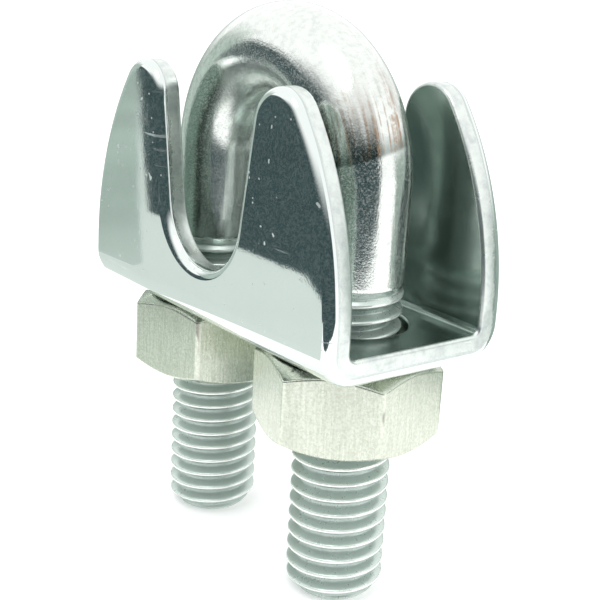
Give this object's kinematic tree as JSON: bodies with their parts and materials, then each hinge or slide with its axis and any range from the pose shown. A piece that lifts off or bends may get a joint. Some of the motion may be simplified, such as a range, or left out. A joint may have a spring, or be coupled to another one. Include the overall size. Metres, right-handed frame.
{
  "type": "wire rope clip",
  "caption": "Wire rope clip with a threaded U-bolt, a folded sheet saddle with pronged walls and a rope notch, and hex nuts that draw the saddle up to grip the rope.",
  "frame": {"origin": "centre of the footprint, at the level of the two leg ends", "axes": "+Z along the legs towards the bow, X from leg to leg, Y along the rope"},
  "size_m": [0.0256, 0.013, 0.0353],
  "materials": {
    "u_bolt_steel": "polished",
    "saddle_steel": "mirror polished",
    "nut_steel": "satin"
  },
  "bodies": {
    "u_bolt": {"u_bolt": "u_bolt_steel"},
    "saddle": {"saddle": "saddle_steel"},
    "nut_right": {"hex_nut_right": "nut_steel"},
    "nut_left": {"hex_nut_left": "nut_steel"}
  },
  "joints": [
    {"name": "saddle_slide", "type": "slide", "parent": "u_bolt", "child": "saddle", "axis": [0, 0, 1], "range_m": [-0.01, 0.003]},
    {"name": "nut_right_turn", "type": "hinge", "parent": "saddle", "child": "nut_right", "pos_m": [0.00695, 0, 0.0128], "axis": [0, 0, 1], "range_deg": [-3600, 1080]},
    {"name": "nut_left_turn", "type": "hinge", "parent": "saddle", "child": "nut_left", "pos_m": [-0.00695, 0, 0.0128], "axis": [0, 0, 1], "range_deg": [-3600, 1080]}
  ],
  "couplings": [
    {"joint": "nut_right_turn", "follows": "saddle_slide", "rad_per_m": 6283.2},
    {"joint": "nut_left_turn", "follows": "saddle_slide", "rad_per_m": 6283.2}
  ]
}
